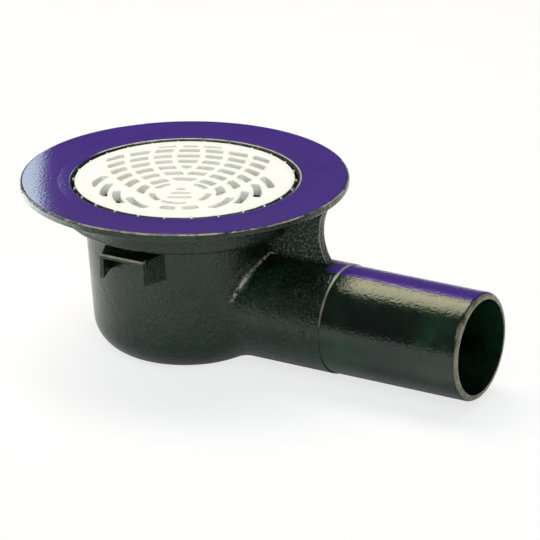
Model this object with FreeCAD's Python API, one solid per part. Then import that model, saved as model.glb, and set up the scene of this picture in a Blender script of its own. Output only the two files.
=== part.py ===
import FreeCAD, Part
import math
import os

os.makedirs("parts", exist_ok=True)
V = FreeCAD.Vector
up = V(0, 0, 1)
ahead = V(1, 0, 0)

# All sizes in mm. Z = 0 is the flat underside of the bowl, the outlet runs along +X.

# iron body: flange, rounded lip and grate recess
flange_top = 123.0
flange_radius = 113.8
flange_edge_thickness = 5.7
flange_root_thickness = 8.0
flange_edge_round = 1.6
flange_dish = 1.6
dish_width = 10.0
dish_round = 12.0
lip_round = 3.2
recess_radius = 78.0
recess_depth = 22.0
collar_wall = 5.5
collar_floor = 5.6
collar_round = 4.0
collar_under_round = 2.5
seat_round = 1.5

# iron body: bowl
bowl_top_radius = 69.6
bowl_draft = 4.5
bowl_wall = 5.0
bowl_floor = 6.0
bowl_corner = 25.0

# iron body: outlet
outlet_radius = 37.5
outlet_above_base = 4.0
outlet_end = 232.0
outlet_wall = 4.5
outlet_root_step = 0.7
outlet_root_end = 127.6
outlet_edge = 3.2
outlet_blend = 4.5
outlet_blend_low = 22.0
spigot_overlap = 20.0

# iron body: web between flange, bowl and outlet
web_thickness = 7.5
web_reach = 109.0
web_hollow = 7.0
web_foot = 3.0
web_rim_inset = 1.5
web_sink = 0.5

# iron body: fixing lugs
lug_reach = 83.0
lug_width = 35.0
lug_spread_angle = 18.0
lug_drop = 32.9
lug_slope_angle = 10.0
lug_height = 17.4
lug_plate = 3.2
lug_round = 2.0

# cast nub on the outlet root
nub_radius = 1.7
nub_height = 1.3
nub_before_step = 12.6

# grate
grate_gap = 1.5
grate_below_flange = 2.2
grate_rim_width = 7.0
grate_rim_thickness = 2.1
grate_field_drop = 0.5
grate_edge_round = 0.9
grate_under_round = 0.5
field_edge_round = 0.3
skirt_round = 0.8
rib_depth = 8.0
skirt_inset = 4.0
skirt_wall = 2.8
fin_count = 26
fin_thickness = 1.4
fin_clearance = 0.4
fin_foot = 1.6
fin_sink = 0.4
grate_turn = 28.1

# openings of the grate: rows of slots on arcs round one hub,
# crossed by two fans of curved ribs struck from points near the edge
hub_side = -1.2
hub_offset = -27.3
row_radii = [27.7, 40.0, 51.8, 63.5, 74.6, 85.9, 95.6]
edge_row_radii = [35.7, 44.0, 52.8, 63.0]
edge_row_reaches = [(87.0, 109.5), (73.0, 97.0), (58.0, 83.0), (43.0, 65.0)]
edge_row_opening = 5.4
row_opening = 6.2
fan_half_spacing = 56.2
fan_offset = 48.5
rib_arc_radii = [66.1, 82.4, 99.5, 115.8]
rib_width = 4.2
slot_margin = 0.6
edge_row_margin = 5.5
slot_corner = 0.9
slot_overrun = 1.0
narrowest_slot = 2.2
hub_slot_radius = 19.4
hub_slot_width = 4.0
hub_slot_angles = [(-44, 0), (28, 64), (116, 152), (180, 224), (233, 284)]
foot_slot_radius = 29.2
foot_slot_angles = [(-84, -63), (246, 266)]
bar_slot_width = 4.0
bar_slots = [(8.0, 6.0), (0.2, 13.0), (-8.0, 16.0)]

# water trap insert and its ring
trap_fit = 0.3
trap_tube_wall = 4.2
trap_tube_length = 41.0
trap_plate = 3.0
trap_width = 60.0
trap_wall_gap = 4.0
trap_hood_depth = 31.0
trap_floor_gap = 15.0
trap_headroom = 22.0
trap_weir_rise = 3.5
trap_round = 6.0
tab_height = 13.0
tab_length = 22.0
tab_thickness = 3.5
tab_hole_radius = 4.0
seal_section_radius = 1.5
seal_gap = 0.1
seal_seat_gap = 0.05
seal_from_end = 12.0
seal_groove_width = 3.6


def outline(points):
    # closed outline in the XZ plane, each corner given as (x, z, corner radius)
    count = len(points)
    starts, ends, arcs = [], [], []
    for i in range(count):
        x, z, radius = points[i]
        here = V(x, 0, z)
        before = V(points[i - 1][0], 0, points[i - 1][1])
        after = V(points[(i + 1) % count][0], 0, points[(i + 1) % count][1])
        a = (before - here).normalize()
        b = (after - here).normalize()
        if radius <= 0:
            starts.append(here)
            ends.append(here)
            arcs.append(None)
            continue
        half = math.acos(max(-1.0, min(1.0, a.dot(b)))) / 2
        reach = radius / math.tan(half)
        middle = (a + b).normalize()
        centre = here + middle * (radius / math.sin(half))
        starts.append(here + a * reach)
        ends.append(here + b * reach)
        arcs.append(Part.Arc(starts[-1], centre - middle * radius, ends[-1]).toShape())
    edges = []
    for i in range(count):
        if arcs[i] is not None:
            edges.append(arcs[i])
        following = (i + 1) % count
        if (starts[following] - ends[i]).Length > 1e-6:
            edges.append(Part.makeLine(ends[i], starts[following]))
    return Part.Face(Part.Wire(edges))


def turned(points):
    return outline(points).revolve(V(0, 0, 0), up, 360)


def rod(radius, length, base, axis):
    return Part.makeCylinder(radius, length, base, axis)


def block(x0, x1, y0, y1, z0, z1):
    return Part.makeBox(x1 - x0, y1 - y0, z1 - z0, V(x0, y0, z0))


def polygon_face(points):
    return Part.Face(Part.makePolygon(points + [points[0]]))


def plan_prism(points, z0, z1):
    return polygon_face([V(x, y, z0) for x, y in points]).extrude(V(0, 0, z1 - z0))


# heights and radii that follow from the sizes above
seat = flange_top - recess_depth
collar_bottom = seat - collar_floor
collar_radius = recess_radius + collar_wall
lip_level = flange_top - flange_dish
draft = bowl_draft / (collar_bottom - bowl_corner)
foot_radius = bowl_top_radius - draft * collar_bottom
inner_corner = bowl_corner - bowl_wall
inner_foot = foot_radius - bowl_wall + draft * bowl_floor
inner_top = inner_foot + draft * (seat - bowl_floor)
outlet_axis_height = outlet_radius + outlet_above_base
outlet_bore_radius = outlet_radius - outlet_wall
outlet_root_radius = outlet_radius + outlet_root_step
axis_point = V(0, 0, outlet_axis_height)

# iron body, turned outside first
body = turned([
    (0.0, 0.0, 0.0),
    (foot_radius, 0.0, bowl_corner),
    (bowl_top_radius, collar_bottom, collar_under_round),
    (collar_radius, collar_bottom, collar_round),
    (collar_radius, flange_top - flange_root_thickness, collar_round),
    (flange_radius, flange_top - flange_edge_thickness, flange_edge_round),
    (flange_radius, flange_top, flange_edge_round),
    (recess_radius + dish_width, lip_level, dish_round),
    (0.0, lip_level, 0.0),
])

# outlet root, its joint to the bowl blended on one half from a tight crease on top
# to a wide sweep underneath, and mirrored
body = body.fuse(rod(outlet_root_radius, outlet_root_end, axis_point, ahead))
half_body = body.common(block(-flange_radius, outlet_end, 0, flange_radius, 0, flange_top))


def off_axis(point):
    return math.hypot(point.y, point.z - outlet_axis_height)


joint_edges = []
for edge in half_body.Edges:
    if edge.Curve.TypeId == "Part::GeomLine":
        continue
    points = edge.discretize(7)
    on_root = all(abs(off_axis(p) - outlet_root_radius) < 0.01 for p in points)
    if on_root and max(p.x for p in points) < outlet_root_end - 1:
        joint_edges.append(edge)
joint_room = collar_bottom - collar_under_round - outlet_axis_height - outlet_root_radius
half_body = half_body.makeFillet(min(outlet_blend, 0.8 * joint_room), outlet_blend_low, joint_edges)
body = half_body.fuse(half_body.mirror(V(0, 0, 0), V(0, 1, 0))).removeSplitter()

# plain spigot
spigot_start = outlet_root_end - spigot_overlap
spigot = rod(outlet_radius, outlet_end - spigot_start, axis_point + ahead * spigot_start, ahead)
spigot = spigot.makeFillet(outlet_edge, [e for e in spigot.Edges if e.BoundBox.XMin > outlet_end - 1])
body = body.fuse(spigot)

# web with a hollow-curved free edge
web_low = outlet_axis_height + outlet_radius * 0.9
web_high = flange_top - flange_edge_thickness + web_sink
low_tip = V(web_reach + web_hollow + web_foot, 0, web_low)
high_tip = V(flange_radius - web_rim_inset, 0, web_high)
web_edges = [
    Part.makeLine(V(0, 0, web_low), low_tip),
    Part.Arc(low_tip, V(web_reach, 0, (web_low + web_high) / 2), high_tip).toShape(),
    Part.makeLine(high_tip, V(0, 0, web_high)),
    Part.makeLine(V(0, 0, web_high), V(0, 0, web_low)),
]
web = Part.Face(Part.Wire(web_edges)).extrude(V(0, web_thickness, 0))
web.translate(V(0, -web_thickness / 2, 0))
body = body.fuse(web)


def lug():
    # inverted U: a sloping top plate on two side plates that spread towards the bowl
    near = inner_foot
    depth = lug_reach - near
    front = lug_width / 2
    rear = front + depth * math.tan(math.radians(lug_spread_angle))
    top = flange_top - lug_drop
    rear_top = top + depth * math.tan(math.radians(lug_slope_angle))
    low = top - lug_height
    far = rear + lug_plate

    def wedge(inset, below):
        reach = lug_reach + below
        plan = plan_prism([
            (-rear + inset, near), (rear - inset, near), (front - inset, reach), (inset - front, reach),
        ], low - below, rear_top)
        side = polygon_face([
            V(-far, near, low - below), V(-far, reach, low - below),
            V(-far, reach, top - inset), V(-far, near, rear_top - inset),
        ]).extrude(V(2 * far, 0, 0))
        return plan.common(side)

    outside = wedge(0.0, 0.0)
    crests = []
    for edge in outside.Edges:
        box = edge.BoundBox
        if box.ZMin > top - 0.1 and box.YLength > depth / 2:
            crests.append(edge)
    return outside.makeFillet(lug_round, crests).cut(wedge(lug_plate, 1.0))


front_lug = lug()
back_lug = front_lug.copy()
back_lug.rotate(V(0, 0, 0), up, 180)
body = body.fuse(front_lug).fuse(back_lug)

# nub on the flank of the outlet root
nub_tip = outlet_root_radius + nub_height
nub = rod(nub_radius, 2 * nub_height, V(outlet_root_end - nub_before_step, -nub_tip + 2 * nub_height,
                                        outlet_axis_height), V(0, -1, 0))
nub = nub.makeFillet(nub_height * 0.7, [e for e in nub.Edges if e.BoundBox.YMax < 0.1 - nub_tip])
body = body.fuse(nub)

# bowl, recess and bore
body = body.cut(turned([
    (0.0, bowl_floor, 0.0),
    (inner_foot, bowl_floor, inner_corner),
    (inner_top, seat, seat_round),
    (recess_radius, seat, seat_round),
    (recess_radius, flange_top, 0.0),
    (0.0, flange_top, 0.0),
]))
lip_edges = []
for edge in body.Edges:
    size = edge.BoundBox
    if edge.Curve.TypeId == "Part::GeomCircle" and abs(edge.Curve.Radius - recess_radius) < 0.01:
        if size.ZMin > lip_level - 0.1:
            lip_edges.append(edge)
body = body.makeFillet(lip_round, lip_edges)
body = body.cut(rod(outlet_bore_radius, outlet_end, axis_point + ahead * (inner_foot / 2), ahead))
body = body.removeSplitter()
body.exportStep("parts/drain_body.step")
print("body", len(body.Solids), body.isValid(), round(body.Volume))

# grate
grate_radius = recess_radius - grate_gap
field_radius = grate_radius - grate_rim_width
skirt_outer = grate_radius - skirt_inset
skirt_inner = skirt_outer - skirt_wall
grate_top = flange_top - grate_below_flange
field_top = grate_top - grate_field_drop
field_low = field_top - rib_depth
rim_low = grate_top - grate_rim_thickness
grate = turned([
    (0.0, field_low, 0.0),
    (skirt_inner, field_low, skirt_round),
    (skirt_inner, seat, 0.0),
    (skirt_outer, seat, skirt_round),
    (skirt_outer, rim_low, skirt_round),
    (grate_radius, rim_low, grate_under_round),
    (grate_radius, grate_top, grate_edge_round),
    (field_radius + 1.2 * grate_field_drop, grate_top, field_edge_round),
    (field_radius, field_top, field_edge_round),
    (0.0, field_top, 0.0),
])

slot_low = field_low - slot_overrun
slot_high = grate_top + slot_overrun
slot_tall = slot_high - slot_low
hub = V(hub_side, hub_offset, 0)
left_point = V(-fan_half_spacing, fan_offset, 0)
right_point = V(fan_half_spacing, fan_offset, 0)


def post(centre, radius):
    return rod(radius, slot_tall, V(centre.x, centre.y, slot_low), up)


def band(centre, middle, width):
    return post(centre, middle + width / 2).cut(post(centre, middle - width / 2))


def half_field(x0, x1, y0):
    return block(x0, x1, y0, grate_radius, slot_low, slot_high)


field = post(V(0, 0, 0), field_radius - slot_margin)
right_half = half_field(hub_side, grate_radius, -grate_radius)
left_half = half_field(-grate_radius, hub_side, -grate_radius)
above_hub = half_field(-grate_radius, grate_radius, hub_offset)


def inside_rib(point, number):
    return post(point, rib_arc_radii[number] - rib_width / 2)


def outside_rib(point, number):
    return post(point, rib_arc_radii[number] + rib_width / 2)


def lens(number):
    return inside_rib(left_point, number).common(inside_rib(right_point, number))


def column(number, right):
    # strip outside one rib of a fan and inside the next, the last one reaching the rim
    point = left_point if right else right_point
    strip = field if number + 1 == len(rib_arc_radii) else inside_rib(point, number + 1)
    return strip.cut(outside_rib(point, number)).common(right_half if right else left_half)


slots = []


def add_slots(shape):
    # slivers at the edge of the pattern stay closed, the others get round corners
    for solid in shape.Solids:
        foot = min(solid.Faces, key=lambda face: face.CenterOfMass.z)
        if 2 * foot.Area / foot.Length < narrowest_slot:
            continue
        plan = foot.makeOffset2D(-slot_corner).makeOffset2D(slot_corner)
        for face in plan.Faces:
            slots.append(face.extrude(up * slot_tall))


columns = [(number, side, column(number, side)) for number in range(len(rib_arc_radii)) for side in (True, False)]
for index, radius in enumerate(row_radii):
    row = band(hub, radius, row_opening).common(field)
    if index == 0:
        add_slots(row.common(lens(1)).common(above_hub))
    if index > 1:
        add_slots(row.common(lens(0)))
    for number, side, strip in columns:
        first = 1 if index == 0 else 0
        if first <= number < len(rib_arc_radii) - 1:
            add_slots(row.common(strip))
edge_rows = post(V(0, 0, 0), field_radius - edge_row_margin)
for radius, (first, last) in zip(edge_row_radii, edge_row_reaches):
    row = band(hub, radius, edge_row_opening).common(edge_rows)
    for number, side, strip in columns:
        if number == len(rib_arc_radii) - 1:
            point = right_point if side else left_point
            add_slots(row.common(strip).common(post(point, last)).cut(post(point, first)))


def arc_slot(radius, width, start, end):
    corners = [(hub.x, hub.y)]
    for angle in (start, (start + end) / 2, end):
        turn = math.radians(angle)
        corners.append((hub.x + 2 * radius * math.cos(turn), hub.y + 2 * radius * math.sin(turn)))
    return band(hub, radius, width).common(plan_prism(corners, slot_low, slot_high))


# hub: short arcs round a small slotted disc, two slots below it
for start, end in foot_slot_angles:
    add_slots(arc_slot(foot_slot_radius, row_opening, start, end))
for start, end in hub_slot_angles:
    add_slots(arc_slot(hub_slot_radius, hub_slot_width, start, end))
half_bar = bar_slot_width / 2
for height, length in bar_slots:
    y = hub.y + height
    add_slots(block(hub.x - length / 2, hub.x + length / 2, y - half_bar, y + half_bar, slot_low, slot_high))
grate = grate.cut(Part.makeCompound(slots))

# fins that centre the grate in the recess
fin_reach = recess_radius - fin_clearance
fin_high = rim_low + fin_sink
fins = []
for i in range(fin_count):
    fin = block(skirt_outer - skirt_wall / 2, fin_reach, -fin_thickness / 2, fin_thickness / 2,
                seat + fin_foot, fin_high)
    fin.rotate(V(0, 0, 0), up, 360.0 / fin_count * i)
    fins.append(fin)
grate = grate.fuse(fins).removeSplitter()
grate.rotate(V(0, 0, 0), up, grate_turn)
grate.exportStep("parts/grate.step")
print("grate", len(grate.Solids), grate.isValid(), round(grate.Volume), len(slots))

# water trap insert: tube in the outlet, weir across its lower half, hood dipping in front of it
trap_bottom = bowl_floor + trap_floor_gap
trap_top = seat - trap_headroom
half_width = trap_width / 2
corner_height = bowl_floor + inner_corner
below_corner = max(0.0, corner_height - trap_bottom)
corner_radius = inner_foot + draft * inner_corner - inner_corner
wall_here = corner_radius + math.sqrt(inner_corner ** 2 - below_corner ** 2)
plate_back = math.sqrt(wall_here ** 2 - half_width ** 2) - trap_wall_gap
plate_front = plate_back - trap_plate
hood_front = plate_front - trap_hood_depth
tube_outer = outlet_bore_radius - trap_fit
tube_inner = tube_outer - trap_tube_wall
tube_end = plate_back + trap_tube_length
insert = rod(tube_outer, trap_tube_length, axis_point + ahead * plate_back, ahead)


def rounded_hood(inset, below, back, radius):
    x0 = hood_front + inset
    y0 = half_width - inset
    z1 = trap_top - inset
    box = block(x0, back, -y0, y0, trap_bottom - below, z1)
    picked = []
    for edge in box.Edges:
        size = edge.BoundBox
        if size.XMin > back - 0.1 or size.ZMax < trap_bottom + 0.1:
            continue
        if size.ZMin > z1 - 0.1 or size.XMax < x0 + 0.1:
            picked.append(edge)
    return box.makeFillet(radius, picked)


insert = insert.fuse(rounded_hood(0.0, 0.0, plate_back, trap_round))
insert = insert.cut(rounded_hood(trap_plate, 1.0, plate_front, trap_round - trap_plate))
weir_top = outlet_axis_height + trap_weir_rise
passage = rod(tube_inner, trap_tube_length + 2 * trap_plate, axis_point + ahead * (plate_front - 1.0), ahead)
weir = block(0, plate_back, -tube_outer, tube_outer, 0, weir_top)
insert = insert.cut(passage.cut(weir))
seal_middle = tube_end - seal_from_end
seal_radius = outlet_bore_radius - seal_gap - seal_section_radius
groove_floor = seal_radius - seal_section_radius - seal_seat_gap
groove_point = axis_point + ahead * (seal_middle - seal_groove_width / 2)
groove = rod(tube_outer + 1, seal_groove_width, groove_point, ahead)
insert = insert.cut(groove.cut(rod(groove_floor, seal_groove_width, groove_point, ahead)))
tab_middle = (hood_front + plate_back) / 2
tab_top = trap_top + tab_height
half_tab = tab_thickness / 2
tab = block(tab_middle - tab_length / 2, tab_middle + tab_length / 2, -half_tab, half_tab, trap_top - 1.0, tab_top)
tab = tab.makeFillet(tab_height / 2, [
    e for e in tab.Edges if e.BoundBox.ZMin > tab_top - 0.1 and e.BoundBox.XLength < 0.1])
tab = tab.cut(rod(tab_hole_radius, tab_thickness, V(tab_middle, -half_tab, tab_top - tab_height / 2), V(0, 1, 0)))
insert = insert.fuse(tab).removeSplitter()
insert.exportStep("parts/trap_insert.step")
print("insert", len(insert.Solids), insert.isValid(), round(insert.Volume))

# rubber ring round the trap tube
seal = Part.makeTorus(seal_radius, seal_section_radius, axis_point + ahead * seal_middle, ahead)
seal.exportStep("parts/trap_seal.step")
print("seal", len(seal.Solids), seal.isValid(), round(seal.Volume))
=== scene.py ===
import math
import bmesh
import bpy
from mathutils import Matrix, Vector


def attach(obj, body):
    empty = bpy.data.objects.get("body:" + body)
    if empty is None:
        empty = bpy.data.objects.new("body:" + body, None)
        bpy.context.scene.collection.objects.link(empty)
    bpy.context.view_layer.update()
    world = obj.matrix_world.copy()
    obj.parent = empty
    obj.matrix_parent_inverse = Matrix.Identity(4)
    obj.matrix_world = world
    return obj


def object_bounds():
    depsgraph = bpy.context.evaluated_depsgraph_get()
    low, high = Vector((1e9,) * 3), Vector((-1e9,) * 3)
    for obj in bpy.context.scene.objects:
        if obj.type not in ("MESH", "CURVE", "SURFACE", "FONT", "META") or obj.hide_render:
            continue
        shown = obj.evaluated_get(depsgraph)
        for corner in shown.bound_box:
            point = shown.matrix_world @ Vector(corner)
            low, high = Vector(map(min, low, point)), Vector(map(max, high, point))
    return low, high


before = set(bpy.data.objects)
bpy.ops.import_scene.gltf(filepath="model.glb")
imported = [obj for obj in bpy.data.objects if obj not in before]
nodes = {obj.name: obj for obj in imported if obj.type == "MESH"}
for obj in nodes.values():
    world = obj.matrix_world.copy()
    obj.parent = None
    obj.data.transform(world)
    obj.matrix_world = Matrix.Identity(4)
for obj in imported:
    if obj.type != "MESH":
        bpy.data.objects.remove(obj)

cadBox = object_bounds()
scene = bpy.context.scene
scene.view_settings.view_transform = "Standard"
print("frame loaded:", sorted(nodes))


# small helpers for building node trees

def newMaterial(name):
    mat = bpy.data.materials.new(name)
    mat.use_nodes = True
    mat.node_tree.nodes.clear()
    return mat


def addNode(tree, kind, sockets=None, **settings):
    node = tree.nodes.new(kind)
    for key, value in settings.items():
        setattr(node, key, value)
    for key, value in (sockets or {}).items():
        if isinstance(value, bpy.types.NodeSocket):
            tree.links.new(value, node.inputs[key])
        else:
            node.inputs[key].default_value = value
    return node


def maths(tree, operation, a, b=0.0):
    return addNode(tree, "ShaderNodeMath", {0: a, 1: b}, operation=operation).outputs[0]


def times(tree, first, *others):
    for other in others:
        first = maths(tree, "MULTIPLY", first, other)
    return first


def most(tree, first, *others):
    for other in others:
        first = maths(tree, "MAXIMUM", first, other)
    return first


def oneMinus(tree, value):
    return maths(tree, "SUBTRACT", 1.0, value)


def ramp01(tree, value, start, full):
    # 0 at start, 1 at full, smooth between; start may be the higher of the two
    node = addNode(tree, "ShaderNodeMapRange", {0: value, 1: start, 2: full}, interpolation_type="SMOOTHSTEP")
    return node.outputs[0]


def nearValue(tree, value, middle, halfWidth, core=0.35):
    # 1 in the core of the width round middle, fading to 0 at halfWidth
    away = maths(tree, "ABSOLUTE", maths(tree, "SUBTRACT", value, middle))
    return ramp01(tree, away, halfWidth, halfWidth * core)


def splitVector(tree, vector):
    node = addNode(tree, "ShaderNodeSeparateXYZ", {0: vector})
    return node.outputs[0], node.outputs[1], node.outputs[2]


def vectorLength(tree, x, y, z):
    along = addNode(tree, "ShaderNodeCombineXYZ", {0: x, 1: y, 2: z})
    return addNode(tree, "ShaderNodeVectorMath", {0: along.outputs[0]}, operation="LENGTH").outputs["Value"]


def noise(tree, where, scale, detail, roughness, distortion=0.0):
    node = addNode(tree, "ShaderNodeTexNoise", {
        "Vector": where, "Scale": scale, "Detail": detail, "Roughness": roughness, "Distortion": distortion})
    return node.outputs["Fac"]


def mixColour(tree, factor, a, b):
    # inputs 6 and 7 and output 2 are the mix node's colour sockets
    node = addNode(tree, "ShaderNodeMix", data_type="RGBA")
    for socket, value in ((node.inputs[0], factor), (node.inputs[6], a), (node.inputs[7], b)):
        if isinstance(value, bpy.types.NodeSocket):
            tree.links.new(value, socket)
        else:
            socket.default_value = value
    return node.outputs[2]


def bump(tree, height, strength, distance, normal=None):
    node = addNode(tree, "ShaderNodeBump", {"Height": height, "Strength": strength, "Distance": distance})
    if normal is not None:
        tree.links.new(normal, node.inputs["Normal"])
    return node.outputs["Normal"]


def finishMaterial(tree, shader):
    out = addNode(tree, "ShaderNodeOutputMaterial")
    tree.links.new(shader.outputs[0], out.inputs["Surface"])


def srgb(r, g, b):
    # 0-255 screen colour to the linear value that Blender keeps
    def one(c):
        c = c / 255.0
        return c / 12.92 if c <= 0.04045 else ((c + 0.055) / 1.055) ** 2.4
    return (one(r), one(g), one(b), 1.0)


# iron body: black-green gloss paint over a cast skin, with a violet reflection painted on what faces up and
# along the outlet's top, painted highlights on edges, seams and creases, and painted glints on the grain
# a limit is a quantity, its value where the finish starts and its value where it is full
# a line is a quantity, its value on the line and the line's half-width

castPaint = {
    "deep": srgb(4, 14, 8),
    "green": srgb(26, 54, 35),
    # fleck: painted glints on the peaks of the cast grain
    "grainGlint": srgb(98, 114, 99),
    # violet: a painted reflection of violet surroundings, on faces that look up
    "violetReflection": srgb(66, 35, 131),
    "violetReflectionDark": srgb(56, 30, 117),
    # worn: colour of the painted highlights on edges, seams and creases
    "paintedHighlight": srgb(200, 190, 154),
    "roughness": 0.1,
    "peelRoughness": 0.08,      # added by orange peel
    "paintedHighlightRoughness": 0.25,      # added where highlights are painted
    "specular": 0.56,
    "specularTint": (0.88, 1.0, 0.94, 1.0),
    "blotch": {"scale": 22.0, "detail": 3.0, "roughness": 0.6},
    "lumps": {"scale": 110.0, "detail": 4.0, "roughness": 0.6, "distortion": 0.3},
    "peel": {"scale": 540.0, "detail": 2.0, "roughness": 0.5},
    "grain": {"scale": 560.0, "detail": 3.0, "roughness": 0.6},
    "lumpBump": (0.45, 0.0012),  # strength and distance
    "peelBump": (0.5, 0.0007),
    "grainBump": (1.0, 0.0016),
    "lumpsLost": {"flange": 0.9, "pipe": 0.75},
    "peelLost": {"flange": 0.72, "pipe": 0.25},
    "grainKept": {"cast": 0.24, "web": 1.0},
    "greenRange": (0.35, 0.7),
    "greenLost": {"cast": 0.55},
    "grainGlintRange": (0.48, 0.66),
    "grainGlintKept": {"cast": 0.1, "web": 0.9},
    "paintedHighlightRange": (0.15, 0.6),
    "raggedness": 0.03,         # how far lumps push the edge of the painted violet reflection
    "stripTilt": 12.0,          # degrees that the outlet's painted violet reflection strip leans to the back
    "outletAxisHeight": 0.0415,
    "zones": {
        # flange top: faces that look up, where the violet reflection is painted
        "flange": [("facingUp", 0.8, 0.93), ("z", 0.116, 0.119)],
        "pipe": [("x", 0.1266, 0.1286)],
        "web": [("sideways", 0.009, 0.00315), ("z", 0.078, 0.083), ("z", 0.117, 0.114), ("x", 0.066, 0.076)],
        # a painted violet reflection along the outlet's top, leaning to the back
        "strip": [("facingReflectionStrip", 0.878, 0.896), ("x", 0.116, 0.122), ("fromAxis", 0.0359, 0.0371)],
    },
    # painted highlights: pale lines where a lamp would catch rounded edges, seams and creases; the recess
    # lip's line only on its far side
    "paintedHighlightEdges": {
        "recessLip": {
            "share": 0.8,
            "lines": [("radius", 0.0803, 0.0008)],
            "limits": [("z", 0.1192, 0.12), ("y", 0.0, 0.02)]},
        "flangeRim": {
            "share": 0.75,
            "lines": [("radius", 0.1133, 0.0006)],
            "limits": [("z", 0.1214, 0.1222), ("lumps", 0.3, 0.55)]},
        "outletEnd": {
            "share": 0.38,
            "lines": [],
            "limits": [("facingX", 0.45, 0.8), ("x", 0.229, 0.231)]},
        "seamTop": {
            "share": 0.85,
            "lines": [("x", 0.1276, 0.0007)],
            "limits": [("z", 0.062, 0.076)]},
        "seamSide": {
            "share": 0.2975,
            "lines": [("x", 0.1276, 0.0007)],
            "limits": [("z", 0.046, 0.052)]},
        "rootCrease": {
            "share": 0.75,
            "lines": [("fromAxis", 0.0394, 0.0008)],
            "limits": [("x", 0.03, 0.04), ("x", 0.077, 0.073), ("z", 0.05, 0.06), ("peel", 0.32, 0.65)]},
        "webEdge": {
            "share": 0.7,
            "lines": [("sideways", 0.0034, 0.0008)],
            "limits": [("facingX", 0.2, 0.4), ("z", 0.08, 0.085), ("x", 0.07, 0.075)]},
        "lugFace": {
            "share": 0.5,
            "lines": [("sideways", 0.0828, 0.0009), ("z", 0.0897, 0.0013)],
            "limits": [("sideways", 0.0695, 0.0715), ("across", 0.0182, 0.0178)]},
        "lugEnds": {
            "share": 0.5,
            "lines": [("across", 0.0172, 0.0009), ("z", 0.0897, 0.0013)],
            "limits": [("sideways", 0.0695, 0.0715), ("across", 0.0182, 0.0178)]},
    },
}


def measureCasting(tree):
    # the quantities that zones and edges are found by
    coords = addNode(tree, "ShaderNodeTexCoord")
    where = coords.outputs["Object"]
    x, y, z = splitVector(tree, where)
    facingX, facingY, facingZ = splitVector(tree, coords.outputs["Normal"])
    spot = {"x": x, "y": y, "z": z, "facingX": facingX}
    spot["across"] = maths(tree, "ABSOLUTE", x)
    spot["sideways"] = maths(tree, "ABSOLUTE", y)
    spot["radius"] = vectorLength(tree, x, y, 0.0)
    spot["fromAxis"] = vectorLength(tree, 0.0, y, maths(tree, "SUBTRACT", z, castPaint["outletAxisHeight"]))
    for name in ("blotch", "lumps", "peel", "grain"):
        spot[name] = noise(tree, where, **castPaint[name])
    ragged = times(tree, maths(tree, "SUBTRACT", spot["lumps"], 0.5), castPaint["raggedness"])
    # the outlet's painted violet reflection follows normals leaned back by this tilt
    lean = math.radians(castPaint["stripTilt"])
    leaning = maths(tree, "ADD", times(tree, facingY, math.sin(lean)), times(tree, facingZ, math.cos(lean)))
    spot["facingUp"] = maths(tree, "ADD", facingZ, ragged)
    spot["facingReflectionStrip"] = maths(tree, "ADD", leaning, ragged)
    return spot


def limitMasks(tree, spot, limits):
    return [ramp01(tree, spot[name], start, full) for name, start, full in limits]


def lineMasks(tree, spot, lines):
    return [nearValue(tree, spot[name], middle, halfWidth) for name, middle, halfWidth in lines]


def zoneShare(tree, zone, shares):
    return most(tree, *[times(tree, zone[name], share) for name, share in shares.items()])


# painted highlights along the edges listed above
def paintedHighlightLines(tree, spot):
    paintedHighlight = []
    for edge in castPaint["paintedHighlightEdges"].values():
        masks = lineMasks(tree, spot, edge["lines"]) + limitMasks(tree, spot, edge["limits"])
        paintedHighlight.append(times(tree, edge["share"], *masks))
    return times(tree, most(tree, *paintedHighlight), ramp01(tree, spot["lumps"], *castPaint["paintedHighlightRange"]))


def makeCastPaint():
    mat = newMaterial("castPaint")
    tree = mat.node_tree
    spot = measureCasting(tree)
    zone = {name: times(tree, *limitMasks(tree, spot, limits)) for name, limits in castPaint["zones"].items()}
    zone["cast"] = oneMinus(tree, most(tree, zone["flange"], zone["pipe"]))

    # dark paint with green blotches, and pale flecks that are painted glints on the grain peaks
    greener = times(tree, ramp01(tree, spot["blotch"], *castPaint["greenRange"]),
                    oneMinus(tree, zoneShare(tree, zone, castPaint["greenLost"])))
    base = mixColour(tree, greener, castPaint["deep"], castPaint["green"])
    grainGlints = times(tree, ramp01(tree, spot["grain"], *castPaint["grainGlintRange"]),
                   zoneShare(tree, zone, castPaint["grainGlintKept"]))
    base = mixColour(tree, grainGlints, base, castPaint["grainGlint"])

    # painted violet reflection: flange top, and a strip along the top of the outlet beyond the flange
    violetReflection = mixColour(tree, spot["blotch"], castPaint["violetReflectionDark"], castPaint["violetReflection"])
    base = mixColour(tree, most(tree, zone["flange"], zone["strip"]), base, violetReflection)

    # painted highlights along rounded edges, seams and creases, with rougher gloss there
    paintedHighlightMask = paintedHighlightLines(tree, spot)
    base = mixColour(tree, paintedHighlightMask, base, castPaint["paintedHighlight"])
    rough = maths(tree, "ADD", castPaint["roughness"], times(tree, spot["peel"], castPaint["peelRoughness"]))
    rough = maths(tree, "ADD", rough, times(tree, paintedHighlightMask, castPaint["paintedHighlightRoughness"]))

    # cast skin: lumps and orange peel, fainter on the flange and the pipe, coarse grain on the rest
    swell = oneMinus(tree, zoneShare(tree, zone, castPaint["lumpsLost"]))
    pores = oneMinus(tree, zoneShare(tree, zone, castPaint["peelLost"]))
    coarse = zoneShare(tree, zone, castPaint["grainKept"])
    normal = bump(tree, times(tree, spot["lumps"], swell), *castPaint["lumpBump"])
    normal = bump(tree, times(tree, spot["peel"], pores), *castPaint["peelBump"], normal)
    normal = bump(tree, times(tree, spot["grain"], coarse), *castPaint["grainBump"], normal)

    shader = addNode(tree, "ShaderNodeBsdfPrincipled", {
        "Base Color": base, "Roughness": rough, "Specular IOR Level": castPaint["specular"],
        "Specular Tint": castPaint["specularTint"], "Normal": normal})
    finishMaterial(tree, shader)
    return mat


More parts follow.
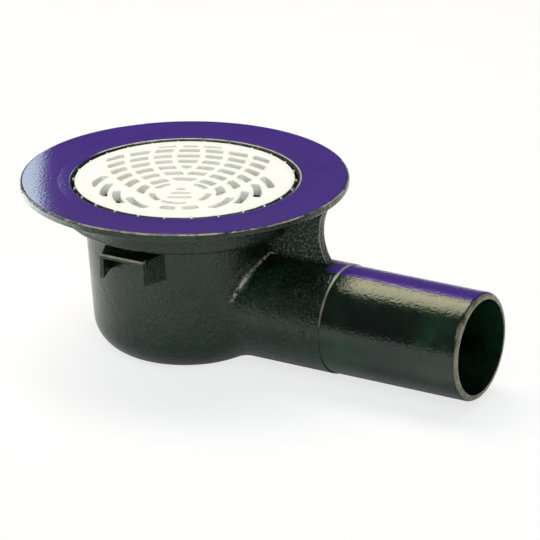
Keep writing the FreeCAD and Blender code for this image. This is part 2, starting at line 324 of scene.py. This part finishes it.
# grate: warm white moulded plastic, with painted shade on the rim's outer edge in the gap beside the lip

gratePlastic = {
    "white": srgb(251, 252, 246),
    "shade": srgb(246, 246, 236),
    "shadeRange": (0.35, 0.75),
    # grime: painted shade on the rim's outer edge, where the gap beside the lip lies in shadow
    "gapShade": srgb(62, 60, 54),
    "gapShadeRadius": (0.0756, 0.0759),
    "gapShadeFacing": (0.97, 0.86),
    "cloud": {"scale": 35.0, "detail": 3.0, "roughness": 0.6},
    "grain": {"scale": 900.0, "detail": 2.0, "roughness": 0.5},
    "grainBump": (0.08, 0.0003),
    "roughness": 0.34,
    "cloudRoughness": 0.12,
    "glow": 0.6,
    "glowDepth": 0.006,
    "glowTint": (1.0, 0.95, 0.8),
}


def makeGratePlastic(name, shadedGapEdge):
    mat = newMaterial(name)
    tree = mat.node_tree
    coords = addNode(tree, "ShaderNodeTexCoord")
    where = coords.outputs["Object"]
    cloud = noise(tree, where, **gratePlastic["cloud"])
    grain = noise(tree, where, **gratePlastic["grain"])
    shaded = ramp01(tree, cloud, *gratePlastic["shadeRange"])
    base = mixColour(tree, shaded, gratePlastic["white"], gratePlastic["shade"])
    # painted shade on the outer edge of the rim, in the gap beside the lip
    if shadedGapEdge:
        x, y = splitVector(tree, where)[:2]
        facingUp = splitVector(tree, coords.outputs["Normal"])[2]
        inShadedGap = times(tree, ramp01(tree, vectorLength(tree, x, y, 0.0), *gratePlastic["gapShadeRadius"]),
                       ramp01(tree, facingUp, *gratePlastic["gapShadeFacing"]))
        base = mixColour(tree, inShadedGap, base, gratePlastic["gapShade"])
    rough = maths(tree, "ADD", gratePlastic["roughness"], times(tree, cloud, gratePlastic["cloudRoughness"]))
    shader = addNode(tree, "ShaderNodeBsdfPrincipled", {
        "Base Color": base, "Roughness": rough, "Normal": bump(tree, grain, *gratePlastic["grainBump"]),
        "Subsurface Weight": gratePlastic["glow"], "Subsurface Scale": gratePlastic["glowDepth"],
        "Subsurface Radius": gratePlastic["glowTint"]})
    finishMaterial(tree, shader)
    return mat


# trap insert and its ring, inside the bowl

trapPlastic = {
    "grey": srgb(58, 60, 62),
    "light": srgb(76, 78, 79),
    "lightRange": (0.3, 0.8),
    "cloud": {"scale": 40.0, "detail": 3.0, "roughness": 0.6},
    "grain": {"scale": 1200.0, "detail": 2.0, "roughness": 0.5},
    "grainBump": (0.15, 0.0003),
    "roughness": 0.5,
    "cloudRoughness": 0.15,
}

sealRubber = {
    "black": srgb(16, 16, 16),
    "dust": srgb(38, 37, 35),
    "dustRange": (0.45, 0.8),
    "cloud": {"scale": 120.0, "detail": 3.0, "roughness": 0.6},
    "roughness": 0.7,
    "cloudRoughness": 0.15,
}


def makeTrapPlastic():
    mat = newMaterial("trapPlastic")
    tree = mat.node_tree
    where = addNode(tree, "ShaderNodeTexCoord").outputs["Object"]
    cloud = noise(tree, where, **trapPlastic["cloud"])
    grain = noise(tree, where, **trapPlastic["grain"])
    lighter = ramp01(tree, cloud, *trapPlastic["lightRange"])
    base = mixColour(tree, lighter, trapPlastic["grey"], trapPlastic["light"])
    rough = maths(tree, "ADD", trapPlastic["roughness"], times(tree, cloud, trapPlastic["cloudRoughness"]))
    shader = addNode(tree, "ShaderNodeBsdfPrincipled", {
        "Base Color": base, "Roughness": rough, "Normal": bump(tree, grain, *trapPlastic["grainBump"])})
    finishMaterial(tree, shader)
    return mat


def makeSealRubber():
    mat = newMaterial("sealRubber")
    tree = mat.node_tree
    where = addNode(tree, "ShaderNodeTexCoord").outputs["Object"]
    cloud = noise(tree, where, **sealRubber["cloud"])
    dusty = ramp01(tree, cloud, *sealRubber["dustRange"])
    base = mixColour(tree, dusty, sealRubber["black"], sealRubber["dust"])
    rough = maths(tree, "ADD", sealRubber["roughness"], times(tree, cloud, sealRubber["cloudRoughness"]))
    shader = addNode(tree, "ShaderNodeBsdfPrincipled", {"Base Color": base, "Roughness": rough})
    finishMaterial(tree, shader)
    return mat


def dress(node, mat):
    obj = nodes[node]
    obj.data.materials.clear()
    obj.data.materials.append(mat)


dress("drain_body", makeCastPaint())
dress("grate", makeGratePlastic("gratePlastic", True))
dress("trap_insert", makeTrapPlastic())
dress("trap_seal", makeSealRubber())
print("finishes on the four pieces")


# upper ends of the centring fins, which reach up past the underside of the grate's rim

finTips = {
    "count": 26,
    "turn": 28.1,               # degrees to the first fin
    "inner": 0.0752,
    "outer": 0.0776,
    "thickness": 0.0014,
    "low": 0.1189,
    "high": 0.1207,
    "edgeRound": 0.0003,
    "roundSteps": 2,
}


def makeFinTips():
    shape = bmesh.new()
    size = Matrix.Diagonal((
        finTips["outer"] - finTips["inner"], finTips["thickness"], finTips["high"] - finTips["low"], 1.0))
    middle = Matrix.Translation((
        (finTips["outer"] + finTips["inner"]) / 2, 0.0, (finTips["high"] + finTips["low"]) / 2))
    for number in range(finTips["count"]):
        angle = math.radians(finTips["turn"] + number * 360.0 / finTips["count"])
        bmesh.ops.create_cube(shape, size=1.0, matrix=Matrix.Rotation(angle, 4, "Z") @ middle @ size)
    bmesh.ops.bevel(shape, geom=shape.edges[:], offset=finTips["edgeRound"],
                    segments=finTips["roundSteps"], affect="EDGES")
    mesh = bpy.data.meshes.new("finTips")
    shape.to_mesh(mesh)
    shape.free()
    mesh.materials.append(makeGratePlastic("finPlastic", False))
    piece = bpy.data.objects.new("finTips", mesh)
    scene.collection.objects.link(piece)
    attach(piece, "root")


makeFinTips()
print("fin tips on the grate")


# floor, lamps and surroundings

studio = {
    "floorColour": srgb(247, 247, 247),
    "floorHalf": 6.0,
    "floorDrop": 0.0003,        # the floor lies just under the bowl
    "floorGlow": 0.75,          # share of plain white in the floor, the rest keeps the shadow
    "floorGlowMirrored": 0.1,   # the same for the floor in reflections
    "worldColour": (0.92, 0.9, 1.0, 1.0),
    "worldStrength": 0.14,
}

lamps = {
    "keyLamp": {                # warm, from the back left
        "place": (-0.65, 0.38, 1.6), "aim": (0.06, 0, 0.1),
        "size": (1.1, 0.75), "power": 18.0, "colour": (1.0, 0.85, 0.6)},
    "topLamp": {                # evens out the grate
        "place": (0.05, 0.45, 2.2), "aim": (0.05, 0, 0.1),
        "size": (1.0, 1.0), "power": 20.0, "colour": (0.86, 0.98, 1.0)},
    "sideLamp": {               # small and close, for the sheen at the far left of the flange
        "place": (-0.204, 0.1113, 0.2), "aim": (-0.093, -0.052, 0.123),
        "size": (0.034, 0.09), "power": 0.029, "colour": (0.8, 1.0, 0.97)},
    "leftLamp": {               # lights the flange's edge and the collar at the left
        "place": (-0.147, -0.076, 0.088), "aim": (-0.061, -0.025, 0.09),
        "size": (0.24, 0.05), "power": 0.12, "colour": (0.86, 0.97, 1.0)},
    "fillLamp": {
        "place": (0.7, -1.3, 1.5), "aim": (0.03, 0, 0.1),
        "size": (1.8, 1.2), "power": 13.0, "colour": (0.88, 0.99, 1.0)},
    "glintLamp": {
        "place": (1.15, -1.25, 1.05), "aim": (0.07, -0.03, 0.08),
        "size": (0.35, 0.35), "power": 4.0, "colour": (1.0, 1.0, 1.0)},
}


def makeFloor():
    half = studio["floorHalf"]
    corners = [(-half, -half, 0), (half, -half, 0), (half, half, 0), (-half, half, 0)]
    mesh = bpy.data.meshes.new("studioFloor")
    mesh.from_pydata(corners, [], [(0, 1, 2, 3)])
    floor = bpy.data.objects.new("studioFloor", mesh)
    scene.collection.objects.link(floor)
    floor.location.z = cadBox[0].z - studio["floorDrop"]
    mat = newMaterial("studioFloor")
    tree = mat.node_tree
    lit = addNode(tree, "ShaderNodeBsdfDiffuse", {"Color": studio["floorColour"]})
    white = addNode(tree, "ShaderNodeEmission", {"Color": (1, 1, 1, 1), "Strength": 1.0})
    path = addNode(tree, "ShaderNodeLightPath")
    mirrored = most(tree, path.outputs["Is Glossy Ray"], path.outputs["Is Transmission Ray"])
    glow = most(tree, times(tree, path.outputs["Is Camera Ray"], studio["floorGlow"]),
                times(tree, mirrored, studio["floorGlowMirrored"]))
    shader = addNode(tree, "ShaderNodeMixShader", {0: glow, 1: lit.outputs[0], 2: white.outputs[0]})
    finishMaterial(tree, shader)
    mesh.materials.append(mat)


def makeSurroundings():
    world = bpy.data.worlds.new("studio")
    scene.world = world
    world.use_nodes = True
    tree = world.node_tree
    tree.nodes.clear()
    shader = addNode(tree, "ShaderNodeBackground", {
        "Color": studio["worldColour"], "Strength": studio["worldStrength"]})
    out = addNode(tree, "ShaderNodeOutputWorld")
    tree.links.new(shader.outputs[0], out.inputs["Surface"])


def addSoftLamp(name, place, aim, size, power, colour):
    lamp = bpy.data.lights.new(name, "AREA")
    lamp.shape = "RECTANGLE"
    lamp.size, lamp.size_y = size
    lamp.energy = power
    lamp.color = colour
    obj = bpy.data.objects.new(name, lamp)
    scene.collection.objects.link(obj)
    obj.visible_camera = False
    obj.location = place
    obj.rotation_euler = (Vector(aim) - Vector(place)).to_track_quat("-Z", "Y").to_euler()


makeFloor()
makeSurroundings()
for lampName, lampValues in lamps.items():
    addSoftLamp(lampName, **lampValues)
print("studio ready")


# camera: long lens, placed so that the middle of the flange lands on its pixel

cameraView = {
    "azimuth": 30.74,
    "elevation": 21.49,
    "roll": -0.62,
    "distance": 2.97,
    "sensorWidth": 36.0,
    "clipEnd": 100.0,
    "metresPerPixel": 0.00069,
    "framePixels": 540,
    "flangeMiddle": (0.0, 0.0, 0.123),
    "flangePixel": (184.6, 175.5),
}


def makeCamera():
    turn = math.radians(cameraView["azimuth"])
    rise = math.radians(cameraView["elevation"])
    back = Vector((math.sin(turn) * math.cos(rise), -math.cos(turn) * math.cos(rise), math.sin(rise)))
    right = Vector((math.cos(turn), math.sin(turn), 0))
    upward = back.cross(right)
    tilt = Matrix.Rotation(math.radians(cameraView["roll"]), 3, back)
    right, upward = tilt @ right, tilt @ upward
    step, middle = cameraView["metresPerPixel"], cameraView["framePixels"] / 2
    px, py = cameraView["flangePixel"]
    centre = Vector(cameraView["flangeMiddle"])
    centre += right * ((middle - px) * step) - upward * ((middle - py) * step)
    data = bpy.data.cameras.new("photoCamera")
    data.sensor_width = cameraView["sensorWidth"]
    data.lens = cameraView["sensorWidth"] / 2 / (middle * step / cameraView["distance"])
    data.clip_end = cameraView["clipEnd"]
    cam = bpy.data.objects.new("photoCamera", data)
    scene.collection.objects.link(cam)
    cam.matrix_world = Matrix.Translation(centre + back * cameraView["distance"]) @ Matrix((
        (right.x, upward.x, back.x), (right.y, upward.y, back.y), (right.z, upward.z, back.z))).to_4x4()
    scene.camera = cam


makeCamera()
print("camera placed")
